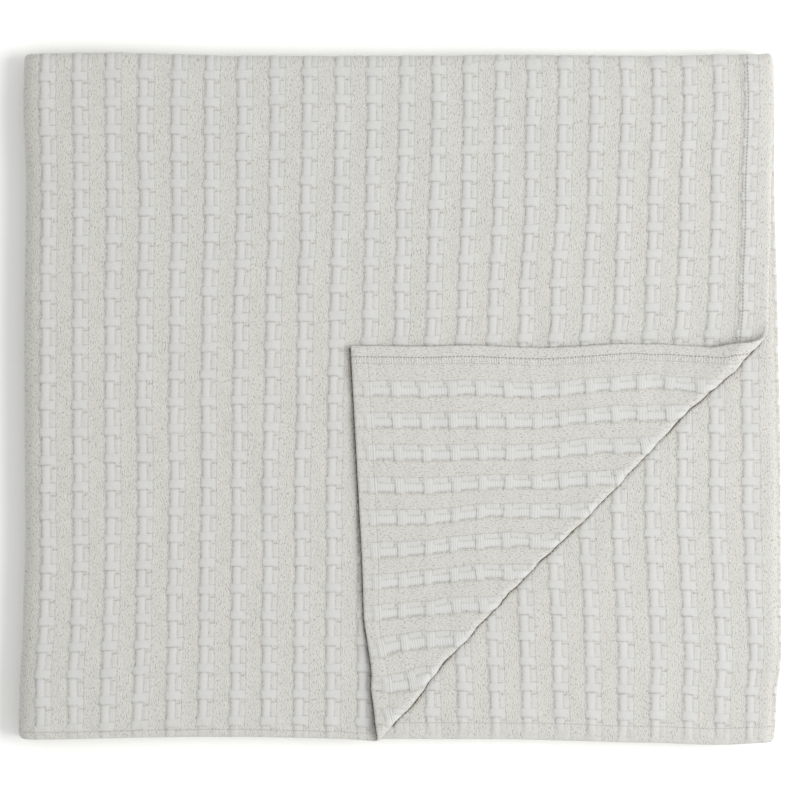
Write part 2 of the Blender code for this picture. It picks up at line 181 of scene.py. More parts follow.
# A back-and-forth fold of flat lengths joined by half circles. On a flat length the place is the start
# plus or minus what is travelled; in a bend it is the sine and cosine of the angle travelled, times the
# bend's radius plus the point's offset from the middle of what is folded
def accordion(length, offset, lengths, radius):
    along, level = np.zeros_like(length), np.zeros_like(length)
    start, place, height, heading = 0.0, 0.0, 0.0, 1
    for number, flat in enumerate(lengths):
        onFlat = length >= start
        along = np.where(onFlat, place + heading * (length - start), along)
        level = np.where(onFlat, height + heading * offset, level)
        start, place = start + flat, place + heading * flat
        if number < len(lengths) - 1:
            onBend = length > start
            angle = (length - start) / radius
            reach = radius + heading * offset
            along = np.where(onBend, place + heading * reach * np.sin(angle), along)
            level = np.where(onBend, height - radius + reach * np.cos(angle), level)
            start, height, heading = start + math.pi * radius, height - 2 * radius, -heading
    return along, level


# A place's distance along the crease and past it, by the two dot products
def creasePlace(x, y):
    along = (x - creaseStart[0]) * creaseAlong[0] + (y - creaseStart[1]) * creaseAlong[1]
    past = (x - creaseStart[0]) * creaseOut[0] + (y - creaseStart[1]) * creaseOut[1]
    return along, past


# The crease's stray: its table's curve and two small sines, which begin past the hem
def creaseStray(along):
    table = turnedCorner["stray"]
    ripple = sum(
        size * np.sin(along * 2 * math.pi / length + phase) for size, length, phase in turnedCorner["ripples"]
    )
    return tableValue(table, np.clip(along, 0, table[-1][0])) + ripple * ramp(along, 0.0, 0.03)


# What lies past the crease rolls round a half ellipse lying along it, wider and higher near the hems,
# and then lies back over the top ply, settling onto it by an exponential. The angle on the ellipse is
# what is travelled divided by the root of the mean square of its two half axes
def turnBack(x, y, z):
    along, past = creasePlace(x, y)
    atRight = smooth(1 - along / turnedCorner["softEnd"])
    atLeft = smooth(1 - (creaseLength - along) / turnedCorner["softEnd"])
    wide, high = (
        turnedCorner[key]
        + atRight * (turnedCorner[key + "Right"] - turnedCorner[key])
        + atLeft * (turnedCorner[key + "Left"] - turnedCorner[key])
        for key in ("across", "height")
    )
    stray = creaseStray(along) * ramp(past, -0.06, -0.018) * (1 - ramp(past, 0.025, 0.14))
    travelled = past - stray + wide
    offset = z - topPlyZ
    mean = np.sqrt((wide ** 2 + high ** 2) / 2)
    angle = travelled / mean
    beyond = np.maximum(travelled - math.pi * mean, 0)
    settled = 1 - np.exp(-beyond / turnedCorner["settlesIn"])
    bent = angle < math.pi
    across = np.where(bent, (wide - offset) * np.sin(angle) - wide, -wide - beyond) + stray
    height = np.where(
        bent,
        topPlyZ + high - (high - offset) * np.cos(angle),
        topPlyZ + 2 * high - offset - settled * (2 * high - turnedCorner["lift"]),
    )
    turned = travelled > 0
    return (
        np.where(turned, creaseStart[0] + creaseAlong[0] * along + creaseOut[0] * across, x),
        np.where(turned, creaseStart[1] + creaseAlong[1] * along + creaseOut[1] * across, y),
        np.where(turned, height, z),
    )


# A square corner drawn in to a round one: each share of the square is multiplied by
# the root of one less a third of the other share squared
def roundCorner(x, y, cornerX, cornerY, radius):
    inX, inY = math.copysign(1, cornerX), math.copysign(1, cornerY)
    shareX = np.clip(1 - (cornerX - x) * inX / radius, 0, 1.2)
    shareY = np.clip(1 - (cornerY - y) * inY / radius, 0, 1.2)
    drawnX = shareX * np.sqrt(1 - shareY ** 2 / 2.9)
    drawnY = shareY * np.sqrt(1 - shareX ** 2 / 2.9)
    return x + (drawnX - shareX) * radius * inX, y + (drawnY - shareY) * radius * inY


# The whole pile's softness: its edges sink by a square law, its corners are drawn round, and its outline is
# drawn to the table's uneven one
def settle(x, y, z):
    left = foldedPile["leftBendX"] - plyBend - panelReach
    right = foldedPile["rightBendX"] + plyBend + panelReach
    top = foldedPile["topBendY"] + plateBend + plateReach
    bottom = foldedPile["bottomBendY"] - plateBend - plateReach
    for side, inside in {"left": x - left, "right": right - x, "bottom": y - bottom, "top": top - y}.items():
        width, sinks = softEdges[side]
        z = z * (1 - sinks * np.clip(1 - inside / width, 0, 1) ** 2)
    rounds = outline["roundings"]
    x, y = roundCorner(x, y, left, bottom, rounds["bottomLeft"])
    x, y = roundCorner(x, y, right, bottom, rounds["bottomRight"])
    x, y = roundCorner(x, y, right, top, rounds["topRight"])
    x, y = roundCorner(x, y, left, top, rounds["topLeft"])
    shareX = np.clip((x - left) / (right - left), 0, 1)
    shareY = np.clip((y - bottom) / (top - bottom), 0, 1)
    reach = outline["reach"]
    movedX = -(1 - smooth(shareX * reach)) * tableValue(outline["left"], y)
    movedX += smooth(shareX * reach - (reach - 1)) * tableValue(outline["right"], y)
    movedY = -(1 - smooth(shareY * reach)) * tableValue(outline["bottom"], x)
    movedY += smooth(shareY * reach - (reach - 1)) * tableValue(outline["top"], x)
    return x + movedX, y + movedY, z


# The top ply's skew: between its hem's table and the inside's, fading out towards the left bend
def topPlySkew(u, v):
    inside, up = ramp(u, *skew["hemFades"]), np.clip(v, 0, skew["upTo"])
    left = tableValue(skew["hem"], up) * (1 - inside)
    left += tableValue(skew["inside"], up) * inside * (1 - ramp(u, *skew["insideFades"]))
    down = skew["drop"] * (1 - ramp(u, *skew["dropFades"])) * (1 - ramp(v, *skew["dropFadesUp"]))
    return left, down


# From the cut to the pile: three plies, three plates, the top ply's skew, its corner's turn, the settling
def foldedPoints(u, v, n):
    across, plyHeight = accordion(u, n, plyLengths, plyBend)
    up, plateHeight = accordion(v, plyHeight + plyPitch, plateLengths, plateBend)
    x, y, z = foldedPile["sideHemX"] - across, foldedPile["bottomHemY"] + up, topPlateZ + plateHeight
    left, down = topPlySkew(u, v)
    onTop = (u <= plyLengths[0]) & (v <= plateLengths[0])
    x, y = np.where(onTop, x - left, x), np.where(onTop, y - down, y)
    turned = turnBack(x, y, z)
    x, y, z = (np.where(onTop, new, old) for new, old in zip(turned, (x, y, z)))
    x, y, z = settle(x, y, z)
    return np.stack([x + foldedPile["moveX"], y + foldedPile["moveY"], z], axis=-1)


# How far a place on the cut lies past the crease, on the top ply and on the ply below it
def topPlyPastCrease(u, v):
    left, down = topPlySkew(u, v)
    along, past = creasePlace(foldedPile["sideHemX"] - u - left, foldedPile["bottomHemY"] + v - down)
    return past - creaseStray(along)


def secondPlyPastCrease(u, v):
    along, past = creasePlace(foldedPile["leftBendX"] + u - secondPlyStart, foldedPile["bottomHemY"] + v)
    return past - creaseStray(along)


# How far the columns and rows stray from an even grid on the cut. On the front the columns bow towards
# the hem by a parabola; on the lower ply they lean; and all wander a little
def patternStray(u, v, face):
    inside = ramp(u, 0.0, 0.03)
    if face > 0:
        share = (u - ribbing["frontStart"]) / (21 * ribbing["pitch"])
        stray = -4 * ribbing["stretch"] * np.clip(share, 0, 1) * (1 - np.clip(share, 0, 1))
    else:
        onLower = ramp(u, 0.9, 1.0) * (1 - ramp(u, secondPlyEnd - 0.035, secondPlyEnd))
        stray = 0.045 * np.clip(0.141 - v, -0.09, 0.13) * onLower
    seed = 3 if face > 0 else 7
    return stray + ribbing["waver"] * unevenness(u, v, seed, 0.05, 0.20) * inside


# The weave's own coordinates: the distance from a rib's crown towards its groove, and from a wrap's middle
# up. The ply under the turned corner shows its columns the other way round
def weavePlace(u, v, face):
    column = u - patternStray(u, v, face)
    rows = ribbing["rowWaver"] * unevenness(u, v, 5, 0.06, 0.25)
    if face > 0:
        return column - ribbing["frontStart"], v + ribbing["frontRowSlant"] * u - ribbing["frontRow"] + rows
    lower = ramp(u, 0.60, 0.95)
    lowerU = secondPlyStart + ribbing["lowerPlyCrown"] - column
    weaveU = np.where(u > 0.85, lowerU, column - ribbing["backStart"])
    weaveV = v - ribbing["backRow"] + lower * (ribbing["backRow"] - ribbing["lowerPlyRow"] + 0.043 * v)
    return weaveU, weaveV + rows


# The remainder within a pitch, from minus half to half of it
def wrapped(value, pitch):
    return (value + pitch / 2) % pitch - pitch / 2


# The ribs' relief: the section between the wraps and the one within them, read from their table, and
# mixed by the share along the rib; the step is level with the ground for a few millimetres under a wrap
def ribRelief(weaveU, weaveV):
    across, along = -wrapped(weaveU, ribbing["pitch"]), wrapped(weaveV, ribbing["wrapPitch"])
    places, between, within = np.array(ribbing["section"]).T
    wrapShare = np.interp(along, *np.array(ribbing["wrapShare"]).T)
    stepShare = np.interp(along, *np.array(ribbing["stepShare"]).T)
    heights = np.interp(across, places, between)
    heights = np.where(across > 0.0046, heights * stepShare, heights)
    return heights * (1 - wrapShare) + np.interp(across, places, within) * wrapShare


# The distance from the nearer side hem and from the nearer end hem
def hemDistances(u, v):
    side = np.minimum(u, coverCut["width"] - u)
    end = np.minimum(v, coverCut["length"] - v)
    return side, end


# The bell curve round a place: the exponential of minus the square of how many widths away a value is
def bell(value, width, place=0.0):
    return np.exp(-(((value - place) / width) ** 2))


# The hems: a rolled edge a little fuller than the cloth, a groove along each seam, and puckers between
def hemRelief(u, v, face):
    side, end = hemDistances(u, v)
    sideSeam = side - hems["frontSeam" if face > 0 else "backSeam"]
    endSeam = end - hems["frontEndSeam" if face > 0 else "backEndSeam"]
    sideWidth, secondWidth, endWidth = hems["grooveWidths"]
    secondGroove = hems["secondShare"] * bell(sideSeam, secondWidth, hems["secondLine"])
    groove = hems["groove"] * (bell(sideSeam, sideWidth) + secondGroove)
    groove += hems["groove"] * bell(endSeam, endWidth)
    band = hems["full"] * (1 - ramp(side, hems["band"] - 0.002, hems["band"] + 0.001))
    band += hems["endFull"] * hems["full"] * (1 - ramp(endSeam, -0.002, 0.0))
    turns = hems["wander"] * unevenness(u, v, 31, 0.03, 0.09)
    (sidePlace, sideReach), (endPlace, endReach) = hems["sidePuckers"], hems["endPuckers"]
    pucker = np.sin(v * 2 * math.pi / hems["puckerPitch"] + turns) * bell(side, sideReach, sidePlace)
    pucker += np.sin(u * 2 * math.pi / hems["puckerPitch"] + turns) * bell(end, endReach, endPlace)
    relief = band - groove + hems["pucker"] * pucker
    if face < 0:
        crinkle = np.sin(side * 2 * math.pi / hems["crinklePitch"] + turns)
        place, reach = hems["crinkles"]
        relief += hems["crinkle"] * crinkle * bell(side, reach, place)
    return relief


# Where the pattern shows in full: past the side hem, and fainter through the lower one
def patternShare(u, v, face):
    side, end = hemDistances(u, v)
    start, full = (0.010, 0.016) if face > 0 else (0.026, 0.032)
    return ramp(side, start, full) * (0.55 + 0.45 * ramp(end, 0.008, 0.018))


# The lying cloth's soft unevenness, each by its height in metres, seed, and shortest and longest wave
swells = [(0.00040, 11, 0.05, 0.16), (0.00028, 12, 0.022, 0.05)]


def swell(u, v):
    return sum(size * unevenness(u, v, seed, shortest, longest) for size, seed, shortest, longest in swells)


# The whole relief, by the share of it that shows: the sum of the pattern, the hems and the swell
def frontRelief(u, v, weaveU, weaveV):
    inTop = (1 - ramp(v, plateLengths[0] + 0.45 * plateArc, plateLengths[0] + 0.62 * plateArc)) * (
        1 - ramp(u, plyLengths[0] - 0.003, plyLengths[0] + 0.001)
    )
    shown = inTop * np.where(v < plateLengths[0], ramp(-topPlyPastCrease(u, v), 0.0065, 0.016), 1.0)
    pattern = ribRelief(weaveU, weaveV) * patternShare(u, v, 1)
    return shown * (pattern + hemRelief(u, v, 1) + swell(u, v))


def backRelief(u, v, weaveU, weaveV):
    onTop = (u < plyLengths[0]) & (v < plateLengths[0])
    onSecond = (u > secondPlyStart) & (u < secondPlyEnd) & (v < plateLengths[0])
    shown = np.where(onTop, ramp(topPlyPastCrease(u, v), -0.0045, 0.0), 0.0)
    shown = np.where(onSecond, ramp(secondPlyPastCrease(u, v), 0.003, 0.010), shown)
    shown = shown * (1 - ramp(u, secondPlyEnd - 0.004, secondPlyEnd))
    pattern = ribRelief(weaveU, weaveV) * patternShare(u, v, -1)
    return shown * (pattern + hemRelief(u, v, -1) + swell(u, v))


# Lines across one direction of the cut: the given stretches at their own spacing, the edges of the cloth
# closer together, and each bend in equal parts
def gridLines(total, stretches, flatLengths, arc, bendSteps):
    lines = [0.0, 0.0006, 0.0015, 0.0028, total - 0.0028, total - 0.0015, total - 0.0006, total]
    for low, high, spacing in stretches:
        lines += list(np.linspace(low, high, max(2, int(round((high - low) / spacing)) + 1)))
    start = 0.0
    for flat in flatLengths[:-1]:
        start += flat
        lines += list(np.linspace(start, start + arc, bendSteps + 1))
        start += arc
    lines = np.unique(np.round(lines, 7))
    return lines[np.concatenate([[True], np.diff(lines) > 0.00035])]


# The coarse lines with the pattern's own between them, none closer than 0.6 mm to a coarse one
def withPattern(coarse, patternLines):
    after = np.clip(np.searchsorted(coarse, patternLines), 1, len(coarse) - 1)
    away = np.minimum(np.abs(patternLines - coarse[after - 1]), np.abs(coarse[after] - patternLines))
    return np.sort(np.concatenate([coarse, patternLines[away > 0.0006]]))


# A set of lines repeated at a pitch between two places
def repeatedLines(start, pitch, offsets, low, high):
    first = math.floor((low - start) / pitch) - 1
    places = start + pitch * np.arange(first, first + int((high - low) / pitch) + 4)
    lines = np.sort((places[:, None] + np.array(offsets)[None, :]).ravel())
    return lines[(lines > low) & (lines < high)]


# From the even grid to the cut: columns and rows move with the pattern, so that the mesh's lines run
# along the ribs and wraps; rows keep straight at the hem and at the far bend
def gridToCut(gridU, gridV, face):
    u = gridU
    for _ in range(2):
        u = gridU + patternStray(u, gridV, face) * ramp(coverCut["width"] - gridU, 0.0, 0.03)
    ends = ramp(gridV, 0.0, 0.030) * (1 - ramp(gridV, plateLengths[0] - 0.030, plateLengths[0] - 0.001))
    if face > 0:
        return u, gridV - ribbing["frontRowSlant"] * (np.clip(u, 0, plyLengths[0]) - 0.36) * ends
    row = (gridV - ribbing["backRow"] + ribbing["lowerPlyRow"]) / 1.043
    return u, gridV + (row - gridV) * ramp(u, 0.60, 0.95) * ends * (1 - ramp(gridV, 0.43, 0.50))


# A closed slab: the outer face has the fine lines, the inner face the coarse ones among them, and a rim of
# faces joins them round the edge. It stays flat here, so that the crease can be cut into it
def slabMesh(name, face, fineU, fineV, coarseU, coarseV):
    points = []
    for linesU, linesV, side in ((fineU, fineV, 1.0), (coarseU, coarseV, -1.0)):
        gridU, gridV = (grid.ravel() for grid in np.meshgrid(linesU, linesV, indexing="ij"))
        u, v = gridToCut(gridU, gridV, face)
        points.append(np.stack([u, v, np.full_like(u, side)], axis=-1))
    at = np.arange(len(fineU) * len(fineV)).reshape(len(fineU), len(fineV))
    within = at.size + np.arange(len(coarseU) * len(coarseV)).reshape(len(coarseU), len(coarseV))
    outer = np.stack([at[:-1, :-1], at[1:, :-1], at[1:, 1:], at[:-1, 1:]], axis=-1).reshape(-1, 4)
    inner = np.stack([within[:-1, :-1], within[:-1, 1:], within[1:, 1:], within[1:, :-1]], axis=-1)
    inner = inner.reshape(-1, 4)
    stopsU, stopsV = np.searchsorted(fineU, coarseU), np.searchsorted(fineV, coarseV)
    lastU, lastV = len(fineU) - 1, len(fineV) - 1
    rim = []
    for outerEdge, innerEdge, stops in (
        (at[:, 0], within[:, 0], stopsU), (at[-1, :], within[-1, :], stopsV),
        (at[::-1, -1], within[::-1, -1], lastU - stopsU[::-1]),
        (at[0, ::-1], within[0, ::-1], lastV - stopsV[::-1]),
    ):
        for k in range(len(stops) - 1):
            run = outerEdge[stops[k]:stops[k + 1] + 1]
            rim.append([run[0], innerEdge[k], innerEdge[k + 1], *run[:0:-1]])
    corners = np.concatenate([outer.ravel(), inner.ravel(), *rim])
    sizes = np.concatenate([np.full(len(outer) + len(inner), 4), [len(row) for row in rim]])
    mesh = bpy.data.meshes.new(name)
    mesh.vertices.add(sum(map(len, points)))
    mesh.vertices.foreach_set("co", np.concatenate(points).ravel())
    mesh.loops.add(len(corners))
    mesh.loops.foreach_set("vertex_index", corners)
    mesh.polygons.add(len(sizes))
    mesh.polygons.foreach_set("loop_start", np.cumsum(sizes) - sizes)
    mesh.update(calc_edges=True)
    return mesh


# A mesh's points as an array of three columns
def readPoints(mesh):
    points = np.empty(len(mesh.vertices) * 3)
    mesh.vertices.foreach_get("co", points)
    return points.reshape(-1, 3)


# Where lines along the crease are cut in, in metres past it
creaseCuts = [
    -0.0150, -0.0118, -0.0092, -0.0074, -0.0060, -0.0048, -0.0037, -0.0027, -0.0018, -0.0009, 0.0,
    0.0009, 0.0018, 0.0028, 0.0038, 0.0050, 0.0064, 0.0082, 0.0110, 0.0160,
]


# The cut laid out so that the crease is a straight line: the top ply's place, less the skew and the stray
def straightened(u, v):
    left, down = topPlySkew(u, v)
    x, y = foldedPile["sideHemX"] - u - left, foldedPile["bottomHemY"] + v - down
    stray = creaseStray(creasePlace(x, y)[0])
    return x - creaseOut[0] * stray, y - creaseOut[1] * stray


# The same the other way: each round takes the last round's error off
def fromStraightened(x, y):
    u, v = foldedPile["sideHemX"] - x, y - foldedPile["bottomHemY"]
    for _ in range(8):
        reachedX, reachedY = straightened(u, v)
        u, v = u + (reachedX - x), v - (reachedY - y)
    return u, v


# Lines along the crease, cut through the faces that cross each of them
def cutCrease(mesh):
    points = readPoints(mesh)
    x, y = straightened(points[:, 0], points[:, 1])
    mesh.vertices.foreach_set("co", np.stack([x, y, points[:, 2]], axis=-1).ravel())
    bm = bmesh.new()
    bm.from_mesh(mesh)
    for past in creaseCuts:
        bm.to_mesh(mesh)
        corners = np.empty(len(mesh.loops), dtype=np.int32)
        starts = np.empty(len(mesh.polygons), dtype=np.int32)
        mesh.loops.foreach_get("vertex_index", corners)
        mesh.polygons.foreach_get("loop_start", starts)
        points = readPoints(mesh)
        distance = creasePlace(points[:, 0], points[:, 1])[1] - past
        inTop = points[:, 0] > foldedPile["leftBendX"] + 0.01
        inTop &= points[:, 1] < foldedPile["topBendY"] - 0.01
        low, high = (f.reduceat(distance[corners], starts) for f in (np.minimum, np.maximum))
        crossed = (low < 0) & (high > 0) & np.minimum.reduceat(inTop[corners], starts)
        bm.faces.ensure_lookup_table()
        faces = [bm.faces[i] for i in np.nonzero(crossed)[0]]
        edges = {edge for face in faces for edge in face.edges}
        vertices = {vertex for face in faces for vertex in face.verts}
        place = creaseStart + creaseOut * past
        bmesh.ops.bisect_plane(
            bm, geom=[*vertices, *edges, *faces], dist=0.00010,
            plane_co=(place[0], place[1], 0), plane_no=(creaseOut[0], creaseOut[1], 0),
        )
    bmesh.ops.triangulate(bm, faces=[face for face in bm.faces if len(face.verts) > 4])
    bm.to_mesh(mesh)
    bm.free()
    points = readPoints(mesh)
    u, v = fromStraightened(points[:, 0], points[:, 1])
    return u, v, points[:, 2]


# Near its edge the cloth's faces close in on the seam, by the root of one less the square of how near
def edgeRounding(u, v):
    side, end = hemDistances(u, v)
    near = np.clip(np.minimum(side, end) / 0.0028, 0, 1)
    return 0.30 + 0.70 * np.sqrt(1 - (1 - near) ** 2)


# How far each place lies from the cloth that covers its neighbour: on the front left of the turned
# corner's edge, on the lower ply past the crease. It is 50 mm where nothing is near
def gapAway(u, v, points, face):
    away = np.full_like(u, 0.05)
    if face > 0:
        edgeU = np.linspace(0.0, 0.40, 60)
        edge = foldedPoints(edgeU, np.zeros(60), np.full(60, -panelReach))
        beside = np.interp(points[:, 1], edge[::-1, 1], edge[::-1, 0]) - points[:, 0]
        onTop = (u < plyLengths[0]) & (v < plateLengths[0]) & (points[:, 1] < edge[0, 1] - 0.001)
        return np.where(onTop, np.clip(beside + 0.0008, -0.05, 0.05), away)
    along = creasePlace(foldedPile["leftBendX"] + u - secondPlyStart, foldedPile["bottomHemY"] + v)[0]
    onSecond = (u > secondPlyStart) & (v < plateLengths[0]) & (along > 0.004) & (along < creaseLength - 0.002)
    return np.where(onSecond, np.clip(secondPlyPastCrease(u, v) - 0.0012, -0.05, 0.05), away)


# One panel: the slab, the crease cut in, the relief raised on its outer face, and all of it folded.
# face is +1 for the front panel and -1 for the back
def clothPanel(name, face, fineU, fineV, coarseU, coarseV, relief):
    mesh = slabMesh(name, face, fineU, fineV, coarseU, coarseV)
    u, v, which = cutCrease(mesh)
    u, v = np.clip(u, 0, coverCut["width"]), np.clip(v, 0, coverCut["length"])
    weaveU, weaveV = weavePlace(u, v, face)
    outer = (panelReach + relief(u, v, weaveU, weaveV)) * edgeRounding(u, v)
    inner = np.minimum(coverCut["panelGap"] / 2, outer * 0.5)
    points = foldedPoints(u, v, face * np.where(which > 0, outer, inner))
    mesh.vertices.foreach_set("co", points.ravel())
    if face > 0:
        mesh.flip_normals()
    corners = np.empty(len(mesh.loops), dtype=np.int32)
    mesh.loops.foreach_get("vertex_index", corners)
    layer = mesh.uv_layers.new(name="weave")
    layer.data.foreach_set("uv", np.stack([weaveU, weaveV], axis=-1)[corners].ravel())
    side, end = hemDistances(u, v)
    fields = {
        "sideSeam": side - hems["frontSeam" if face > 0 else "backSeam"],
        "endSeam": end - hems["frontEndSeam" if face > 0 else "backEndSeam"],
        "patternShare": patternShare(u, v, face),
        "gapAway": gapAway(u, v, points, face),
    }
    for label, values in fields.items():
        mesh.attributes.new(label, "FLOAT", "POINT").data.foreach_set("value", values)
    mesh.polygons.foreach_set("use_smooth", np.ones(len(mesh.polygons), dtype=bool))
    mesh.update()
    piece = bpy.data.objects.new(name, mesh)
    bpy.context.scene.collection.objects.link(piece)
    triangles = sum(len(face.vertices) - 2 for face in mesh.polygons)
    print(name, "has", len(mesh.vertices), "points and", triangles, "triangles")
    return piece


stitching = {
    "pitch": 0.0036, "length": 0.0026, "radius": 0.00030, "sunk": 0.00022, "over": 0.00008,
    # A rod's points round it, and the places of its rings along its half length
    "ring": 6, "steps": [-1.0, -0.8, 0.0, 0.8, 1.0],
}


# Stitches of one seam, in the cut: each a short rod with rounded ends that rises in the middle, its
# radius the root of one less its place squared; the ring's points are its sine and cosine
def seamStitches(fromPoint, toPoint, face, relief):
    start, end = np.array(fromPoint), np.array(toPoint)
    run = float(np.linalg.norm(end - start))
    ahead = (end - start) / run
    beside = np.array((-ahead[1], ahead[0]))
    count = int(run / stitching["pitch"])
    places = (np.arange(count) + 0.5) * stitching["pitch"]
    steps = np.array(stitching["steps"])
    turns = np.arange(stitching["ring"]) * 2 * math.pi / stitching["ring"]
    radius = stitching["radius"] * np.sqrt(np.clip(1.03 - steps ** 2, 0.05, 1))
    along = places[:, None, None] + steps[None, :, None] * stitching["length"] / 2 + 0 * turns[None, None, :]
    across = 0 * along + (radius[:, None] * np.cos(turns)[None, :])[None]
    rise = radius[:, None] * np.sin(turns)[None, :] - stitching["sunk"] * steps[:, None] ** 2
    over = 0 * along + rise[None]
    lineU, lineV = start[0] + ahead[0] * along, start[1] + ahead[1] * along
    u, v = lineU + beside[0] * across, lineV + beside[1] * across
    height = panelReach + relief(lineU, lineV, *weavePlace(lineU, lineV, face)) + stitching["over"]
    return u.ravel(), v.ravel(), (face * (height + over)).ravel(), count


# The faces of the rods: a band of four-sided ones between each two rings, and a cap at each end
def stitchFaces(count, first):
    ring, steps = stitching["ring"], len(stitching["steps"])
    at = first + np.arange(count * steps * ring).reshape(count, steps, ring)
    around = np.roll(at, -1, axis=2)
    sides = np.stack([at[:, :-1], around[:, :-1], around[:, 1:], at[:, 1:]], axis=-1).reshape(-1, 4)
    caps = np.concatenate([at[:, 0, ::-1], at[:, -1]])
    return [tuple(row) for row in sides.tolist()] + [tuple(row) for row in caps.tolist()]


# All stitches as one piece. Each seam is given by its two ends on the cut and its panel's side
def hemStitches(name, seams):
    points, faces, first = [], [], 0
    for fromPoint, toPoint, face in seams:
        u, v, n, count = seamStitches(fromPoint, toPoint, face, frontRelief if face > 0 else backRelief)
        points.append(foldedPoints(u, v, n))
        faces += stitchFaces(count, first)
        first += count * stitching["ring"] * len(stitching["steps"])
    mesh = bpy.data.meshes.new(name)
    mesh.from_pydata(np.concatenate(points).tolist(), [], faces)
    bm = bmesh.new()
    bm.from_mesh(mesh)
    bmesh.ops.recalc_face_normals(bm, faces=bm.faces)
    bm.to_mesh(mesh)
    bm.free()
    mesh.polygons.foreach_set("use_smooth", np.ones(len(mesh.polygons), dtype=bool))
    piece = bpy.data.objects.new(name, mesh)
    bpy.context.scene.collection.objects.link(piece)
    return piece


# An sRGB hex value as linear colour
def hexColour(text):
    parts = [int(text[i:i + 2], 16) / 255 for i in (0, 2, 4)]
    return tuple(c / 12.92 if c <= 0.04045 else ((c + 0.055) / 1.055) ** 2.4 for c in parts) + (1.0,)


# Adds one node with its settings, and links or sets its inputs, given by name or as a list from the first
# one on. A node given as an input stands for its main output. A ramp's stops are among the settings
def addNode(tree, kind, settings=None, inputs=()):
    node = tree.nodes.new(kind)
    for key, value in (settings or {}).items():
        if key == "stops":
            elements = node.color_ramp.elements
            elements.remove(elements[1])
            elements[0].position, elements[0].color = value[0]
            for place, colour in value[1:]:
                elements.new(place).color = colour
        else:
            setattr(node, key, value)
    for key, value in inputs.items() if isinstance(inputs, dict) else enumerate(inputs):
        if isinstance(value, bpy.types.Node):
            value = value.outputs[2 if value.bl_idname in ("ShaderNodeMix", "ShaderNodeAttribute") else 0]
        if isinstance(value, bpy.types.NodeSocket):
            tree.links.new(value, node.inputs[key])
        else:
            node.inputs[key].default_value = value
    return node


# A new material, its tree and its shader, with the shader's uniform values set
def startMaterial(name, values):
    material = bpy.data.materials.new(name)
    material.use_nodes = True
    shader = material.node_tree.nodes["Principled BSDF"]
    for socket, value in values.items():
        shader.inputs[socket].default_value = value
    return material, material.node_tree, shader


# The ground's darker colour is partly the crepe's own tone and partly painted shade in the grain's pits
clothLook = {
    "ground": "C4C3BE", "groundDarkAndPitShade": "A3A19A", "speck": "C9C6C0", "rib": "C5C5C3",
    "lost": "86847C", "crevice": "5F564A",  # where light is lost between threads, and under a fold
    "lostShade": 0.48, "seamShade": 0.90, "endSeamShade": 0.36, "roughness": 0.92, "sheen": 0.20,
    # Metres between threads on a rib and on a step, across a grain of the ground, and between hem ticks
    "ribThreads": 0.0025, "stepThreads": 0.0015, "grain": 0.0010, "ticks": 0.0024,
    # Metres that each stands over or under the cloth
    "ribRise": 0.00012, "ribThreadRise": 0.00008, "stepRise": 0.00008, "stepThreadRise": 0.00006,
    "lostRise": -0.00028, "grainRise": -0.00036, "fineRise": 0.00012, "tickRise": 0.00012,
    "wander": 0.0008, "fray": 0.0034,  # the threads' wander, and the crevice's uneven edge
}

# The section's masks for the cloth's look, by the distance across from the crown in metres: rib, step,
# lost light, and the rib's side where a wrap casts its line
openSection = [
    (-0.0080, (0, 0, 0, 0)), (-0.0062, (0, 0, 0.45, 1)), (-0.0048, (0, 0, 0.85, 1)),
    (-0.0036, (0.8, 0, 0.34, 1)), (-0.0020, (1, 0, 0.05, 1)), (0.0020, (1, 0, 0.0, 1)),
    (0.0042, (0.3, 0, 0.42, 1)), (0.0052, (0, 1, 0.08, 0)), (0.0088, (0, 1, 0.06, 0)),
    (0.0098, (0, 0.4, 0.60, 0)), (0.0110, (0, 0, 0, 0)),
]
wrapSection = [
    (-0.0080, (0, 0, 0, 0)), (-0.0064, (0, 0, 0.55, 0)), (-0.0054, (1, 0, 0.36, 0)),
    (-0.0034, (1, 0, 0.06, 0)), (0.0056, (1, 0, 0.06, 0)), (0.0086, (1, 0, 0.22, 0)),
    (0.0096, (0.2, 0, 0.60, 0)), (0.0110, (0, 0, 0, 0)),
]
# Along the rib: within a wrap, where the step shows, the line below a wrap, the lines beside the step
alongSection = [
    (-0.0090, (0, 1, 0, 0)), (-0.0080, (0, 0.5, 0, 0.9)), (-0.0070, (0, 0, 0, 0)),
    (-0.0056, (0, 0, 0.25, 0)), (-0.0047, (0.3, 0, 0.95, 0)), (-0.0040, (1, 0, 0.34, 0)),
    (-0.0022, (1, 0, 0.04, 0)), (0.0026, (1, 0.2, 0.04, 0)), (0.0040, (1, 0.2, 0.16, 0)),
    (0.0048, (0, 1, 0.14, 0.7)), (0.0058, (0, 1, 0, 0)),
]


